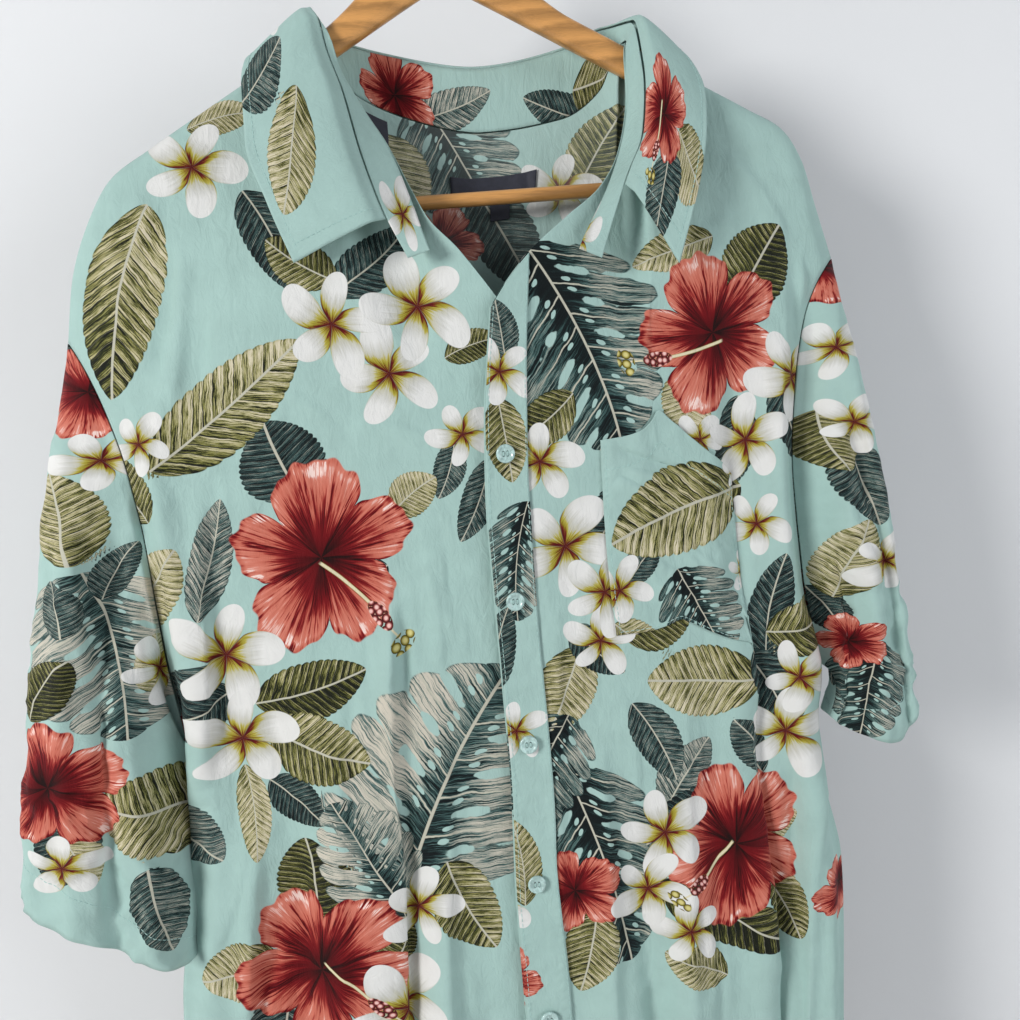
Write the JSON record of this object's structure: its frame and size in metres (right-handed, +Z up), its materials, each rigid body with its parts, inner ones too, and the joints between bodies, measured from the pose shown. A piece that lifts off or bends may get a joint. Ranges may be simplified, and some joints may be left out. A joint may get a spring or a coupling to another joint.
{
  "type": "hawaiian shirt on a hanger",
  "caption": "Short-sleeved hawaiian shirt with an open collar, chest pocket and buttoned placket, hung on a bowed wooden hanger with a wire hook.",
  "frame": {"origin": "inner top of the hanger's hook, where a rail touches it", "axes": "+Z up, the shirt's front faces -Y, the wearer's left is +X"},
  "size_m": [0.585, 0.093, 1.0035],
  "materials": {
    "printed_cloth": "light smooth viscose with an all-over tropical print",
    "label_cloth": "woven label, plain",
    "button": "glossy, four holes",
    "wood": "clear varnish",
    "wire": "polished"
  },
  "bodies": {
    "root": {"front_panel_right": "printed_cloth", "front_panel_left": "printed_cloth", "back_panel": "printed_cloth", "sleeve_right": "printed_cloth", "sleeve_left": "printed_cloth", "collar_stand": "printed_cloth", "collar_leaf": "printed_cloth", "button_placket": "printed_cloth", "chest_pocket": "printed_cloth", "brand_label": "label_cloth", "size_tab": "label_cloth", "care_label": "label_cloth", "button_1": "button", "button_2": "button", "button_3": "button", "button_4": "button", "button_5": "button", "button_6": "button", "collar_button": "button", "hanger_bow": "wood", "hanger_bar": "wood", "hanger_hook": "wire"}
  },
  "joints": []
}
